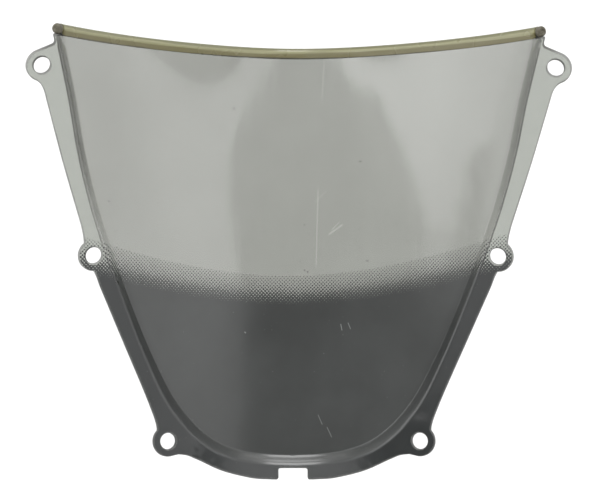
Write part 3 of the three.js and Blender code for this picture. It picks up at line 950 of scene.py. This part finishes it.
def printed_ink():
    m = Nodes("printed_ink")
    cloud = m.noise(14.0, 4.0, 0.6)
    colour = m.mix(m.remap(cloud, 0.3, 0.75), (0.027, 0.0285, 0.0275), (0.035, 0.037, 0.036))
    inside = m.attribute("inside")
    # Painted shade: the ink is made darker on the flange beyond the fold.
    colour = m.mix(m.remap(inside, 1.0, -2.5), colour, (0.012, 0.0135, 0.0135))
    _, _, z = m.axes()
    # Painted shade along the fold inside the bubble, none at the bottom and growing upwards.
    band = m.maths("MULTIPLY", m.remap(inside, -3.0, -0.5), m.remap(inside, 1.5, 9.0, 1.0, 0.0))
    band = m.maths("MULTIPLY", band, m.remap(z, 0.012, 0.05, 0.0, 0.35))
    colour = m.mix(band, colour, (0.008, 0.0085, 0.0085))
    speck = m.remap(m.noise(760.0, 1.0, 0.4), 0.79, 0.82)
    colour = m.mix(m.maths("MULTIPLY", speck, 0.3), colour, (0.2, 0.21, 0.2))
    colour = add_scratches(m, colour, INK_MARKS, (0.3, 0.31, 0.3))
    m.link(colour, m.shader.inputs["Base Color"])
    m.link(m.remap(cloud, 0.25, 0.8, 0.29, 0.36), m.shader.inputs["Roughness"])
    m.shader.inputs["Specular IOR Level"].default_value = 0.3
    m.shader.inputs["Coat Weight"].default_value = 0.5
    m.shader.inputs["Coat Roughness"].default_value = 0.17
    m.bump(m.noise(900.0, 2.0, 0.6), 0.06, 0.0002)
    return m.material


def olive_moulding():
    m = Nodes("olive_moulding")
    rise = m.attribute("rise")
    streak = m.noise(1.0, 3.0, 0.6, m.stretched((10.0, 10.0, 500.0)))
    cloud = m.noise(30.0, 3.0, 0.6)
    # The colours by height across the section are painted light and shade: a dark painted shadow along the
    # lower lip, a lighter painted sheen on the upper face, less bright again at the top.
    height = m.maths("ADD", rise, m.remap(streak, 0.3, 0.7, -0.5, 0.5))
    colour = m.mix(m.remap(height, -3.9, -3.3), (0.050, 0.046, 0.028), (0.092, 0.083, 0.038))
    colour = m.mix(m.remap(height, -1.2, -0.2), colour, (0.160, 0.156, 0.084))
    colour = m.mix(m.remap(height, 1.2, 1.8), colour, (0.112, 0.110, 0.062))
    colour = m.mix(m.remap(cloud, 0.55, 0.75, 0.0, 0.3), colour, (0.10, 0.095, 0.055))
    m.link(colour, m.shader.inputs["Base Color"])
    m.link(m.remap(cloud, 0.3, 0.7, 0.2, 0.34), m.shader.inputs["Roughness"])
    m.bump(streak, 0.15, 0.0003)
    return m.material


def dark_plug():
    m = Nodes("dark_plug")
    cloud = m.noise(260.0, 3.0, 0.6)
    colour = m.mix(m.remap(cloud, 0.35, 0.7), (0.055, 0.050, 0.036), (0.095, 0.088, 0.066))
    m.link(colour, m.shader.inputs["Base Color"])
    m.link(m.remap(cloud, 0.3, 0.7, 0.35, 0.55), m.shader.inputs["Roughness"])
    m.shader.inputs["Specular IOR Level"].default_value = 0.2
    m.bump(m.noise(1400.0, 2.0), 0.2, 0.0002)
    return m.material


def studio_white(name):
    """Pale matt stage paint that glows: a little on the floor and behind the screen, more in front of it."""
    m = Nodes(name)
    m.link(m.mix(m.noise(1.5, 2.0), (0.59, 0.59, 0.59), (0.60, 0.60, 0.60)), m.shader.inputs["Base Color"])
    m.shader.inputs["Roughness"].default_value = 1.0
    m.shader.inputs["Specular IOR Level"].default_value = 0.0
    m.shader.inputs["Emission Color"].default_value = (1.0, 1.0, 1.0, 1.0)
    _, y, z = m.axes()
    wall = m.remap(z, FLOOR_Z + WALL_STARTS, FLOOR_Z + WALL_FULL)
    front = m.remap(y, FRONT_ENDS, BACK_STARTS, GLOW_FRONT, GLOW_BACK)
    glow = m.maths("ADD", GLOW_FLOOR, m.maths("MULTIPLY", wall, m.maths("SUBTRACT", front, GLOW_FLOOR)))
    m.link(glow, m.shader.inputs["Emission Strength"])
    return m.material


# ---- stage --------------------------------------------------------------------------------------------
CENTRE = Vector((0.0049, NOTCH_DEPTH * MM, 0.15295))   # the point that the camera looks at, in metres
CAMERA_DISTANCE = 1.6
CAMERA_TURN = math.radians(2.25)
CAMERA_ROLL = math.radians(0.14)
IMAGE_WIDTH = 600
PIXELS_PER_METRE = 1408.5
FLOOR_Z = CAD_BOX[0][2] - 0.30
COVE_RADIUS = 2.6
COVE_CURVE = 0.9           # radius of the bend between floor and wall
COVE_HEIGHT = 3.2
GLOW_FLOOR = 0.36
GLOW_BACK = 0.28
GLOW_FRONT = 1.05
WALL_STARTS = 0.02         # heights over the floor where the wall's glow starts and is full
WALL_FULL = 0.25
FRONT_ENDS = -0.3          # y where the front's full glow ends, and where the back's starts
BACK_STARTS = 1.5
CARD_DISTANCE = 1.7
CARD_COLUMNS = 24
CARD_ROWS = 44


def make_camera():
    data = bpy.data.cameras.new("camera")
    camera = bpy.data.objects.new("camera", data)
    bpy.context.scene.collection.objects.link(camera)
    data.sensor_width = 36.0
    data.lens = data.sensor_width * PIXELS_PER_METRE * CAMERA_DISTANCE / IMAGE_WIDTH
    data.clip_end = 50
    forward = Vector((math.sin(CAMERA_TURN), math.cos(CAMERA_TURN), 0.0))
    camera.location = CENTRE - forward * CAMERA_DISTANCE
    look = forward.to_track_quat("-Z", "Y").to_matrix().to_4x4()
    camera.matrix_world = Matrix.Translation(camera.location) @ look @ Matrix.Rotation(CAMERA_ROLL, 4, "Z")
    bpy.context.scene.camera = camera


def stage_prop(name, bm, material):
    """An object with one material, made from a finished bmesh."""
    mesh = bpy.data.meshes.new(name)
    bm.to_mesh(mesh)
    bm.free()
    prop = bpy.data.objects.new(name, mesh)
    bpy.context.scene.collection.objects.link(prop)
    prop.data.materials.append(material)
    return prop


def make_bowl():
    """Round studio cove: a floor that curves up into a wall all the way round."""
    flat_radius = COVE_RADIUS - COVE_CURVE
    profile = [(0.0, 0.0), (flat_radius, 0.0)]
    for t in np.radians(np.linspace(-90, 0, 12))[1:]:
        profile.append((flat_radius + COVE_CURVE * math.cos(t), COVE_CURVE + COVE_CURVE * math.sin(t)))
    profile.append((COVE_RADIUS, COVE_HEIGHT))
    turns = 64
    bm = bmesh.new()
    rings = []
    for r, h in profile:
        if r == 0:
            rings.append([bm.verts.new((0, 0, FLOOR_Z + h))] * turns)
            continue
        angles = [2 * math.pi * k / turns for k in range(turns)]
        rings.append([bm.verts.new((r * math.cos(a), r * math.sin(a), FLOOR_Z + h)) for a in angles])
    for low, high in zip(rings, rings[1:]):
        for corners in ring_faces(low, high):
            bm.faces.new(list(dict.fromkeys(corners)))
    bmesh.ops.recalc_face_normals(bm, faces=bm.faces)
    for face in bm.faces:
        face.smooth = True
    bowl = stage_prop("studio_cove", bm, studio_white("cove_paint"))


# Outline of the dark screen behind the camera, from low to high: (height, degrees to the side).
CARD_LEFT = ((-0.28, 30.0), (-0.092, 32.0), (0.031, 37.0), (0.121, 50.0), (0.183, 55.0), (0.265, 54.0),
             (0.338, 46.0), (0.43, 26.0), (0.475, 14.0), (0.51, 4.0), (0.53, 2.0))
CARD_RIGHT = ((-0.28, 38.0), (-0.16, 44.0), (-0.095, 54.0), (0.035, 60.0), (0.194, 63.0), (0.332, 52.0),
              (0.43, 37.0), (0.475, 19.0), (0.51, 4.0), (0.53, 2.0))
# A low strip on the left: (height, degrees at its two ends).
LOW_CARD = ((-0.285, -64.0, -24.0), (-0.205, -62.0, -36.0))


def make_card(name, rows):
    """Dark curved screen seen only as a reflection; each row is a height and its two end directions."""
    bm = bmesh.new()
    grid = []
    for height, start, end in rows:
        line = []
        for turn in np.radians(np.linspace(start, end, CARD_COLUMNS)):
            x = CENTRE.x + CARD_DISTANCE * math.sin(turn)
            y = CENTRE.y - CARD_DISTANCE * math.cos(turn)
            line.append(bm.verts.new((x, y, height)))
        grid.append(line)
    for low, high in zip(grid, grid[1:]):
        for k in range(CARD_COLUMNS - 1):
            bm.faces.new((low[k], low[k + 1], high[k + 1], high[k]))
    m = Nodes(name + "_paint")
    m.link(m.mix(m.noise(2.0), (0.03, 0.03, 0.03), (0.05, 0.05, 0.05)), m.shader.inputs["Base Color"])
    m.shader.inputs["Roughness"].default_value = 1.0
    m.shader.inputs["Specular IOR Level"].default_value = 0.0
    card = stage_prop(name, bm, m.material)
    card.visible_camera = False
    card.visible_diffuse = False
    card.visible_transmission = False
    card.visible_shadow = False


def make_cards():
    heights = np.linspace(CARD_LEFT[0][0], CARD_LEFT[-1][0], CARD_ROWS)
    left = -np.interp(heights, *np.transpose(CARD_LEFT))
    right = np.interp(heights, *np.transpose(CARD_RIGHT))
    make_card("front_card", list(zip(heights, -right, -left)))
    make_card("low_card", LOW_CARD)


def area_light(name, place, aim, size, power):
    data = bpy.data.lights.new(name, "AREA")
    data.energy = power
    data.shape = "RECTANGLE"
    data.size, data.size_y = size
    light = bpy.data.objects.new(name, data)
    light.location = place
    light.rotation_euler = (Vector(aim) - Vector(place)).to_track_quat("-Z", "Y").to_euler()
    bpy.context.scene.collection.objects.link(light)


def make_lights():
    world = bpy.data.worlds.new("world")
    world.use_nodes = True
    background = world.node_tree.nodes["Background"]
    background.inputs[0].default_value = (1.0, 1.0, 1.0, 1.0)
    background.inputs[1].default_value = 0.5
    bpy.context.scene.world = world
    area_light("overhead", (0.08, -1.1, 2.1), (0.0, 0.0, 0.0), (1.6, 1.2), 50)
    area_light("side", (-1.62, -0.62, 0.3), (0.0, -0.05, 0.15), (1.0, 1.3), 4.8)


def finish_piece(piece, material, slot, *nodes):
    piece.data.materials.append(material)
    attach(piece, ROOT)
    if nodes:
        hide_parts(*nodes)


make_camera()
make_bowl()
make_cards()
make_lights()
ink = printed_ink()
plug_material = dark_plug()
finish_piece(make_panel(), smoked_plastic(), "smoked_plastic", "screen_panel")
finish_piece(make_cut_edge(), frosted_edge(), "smoked_plastic")
finish_piece(make_band(), ink, "printed_ink", "black_band")
finish_piece(make_fade(), ink, "printed_ink")
finish_piece(make_trim(), olive_moulding(), "trim", "top_edge_trim")
for side, node in ((-1, "trim_end_plug_left"), (1, "trim_end_plug_right")):
    finish_piece(make_plug(side), plug_material, "plug", node)

bpy.context.scene.view_settings.view_transform = "Standard"
